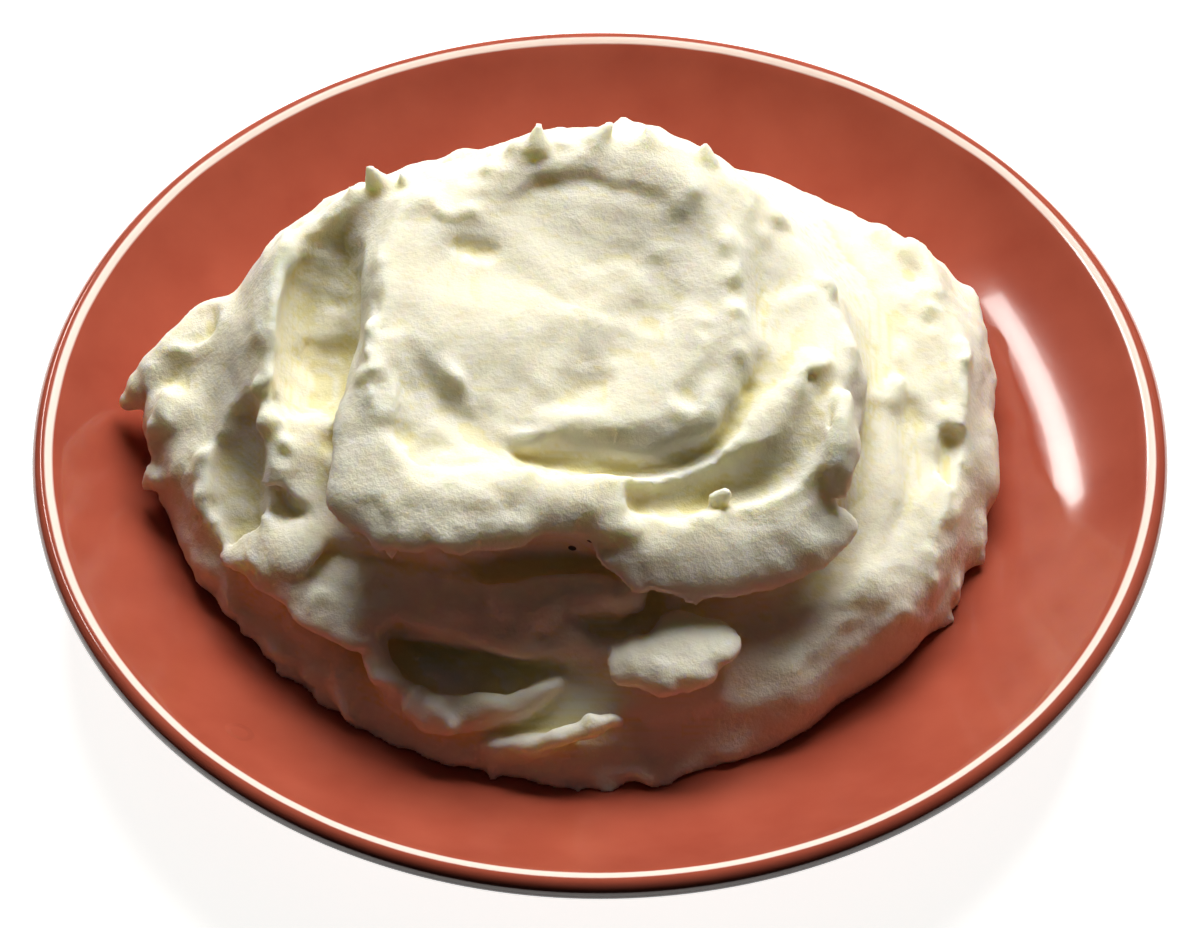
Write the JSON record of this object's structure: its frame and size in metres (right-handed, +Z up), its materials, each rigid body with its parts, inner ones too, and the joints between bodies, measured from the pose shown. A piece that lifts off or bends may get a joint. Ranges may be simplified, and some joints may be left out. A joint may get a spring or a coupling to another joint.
{
  "type": "mashed potato side on a plate",
  "caption": "Swirled, spooned heap of mashed potato with a cratered top on a small round coupe plate with a pale rim line.",
  "frame": {"origin": "centre of the plate's foot ring, on the surface the plate stands on", "axes": "+Z up; -Y is the front, the side with the hooked low lip and the tongue; +X is the side with the long trough"},
  "size_m": [0.17, 0.17, 0.0537],
  "materials": {
    "plate_glaze": "glossy terracotta glaze with a thin pale line just inside the rim",
    "mash": "moist, matte cream mashed potato; matte_plastic stands in for it"
  },
  "bodies": {
    "root": {"plate": "plate_glaze", "mash": "mash"}
  },
  "joints": []
}
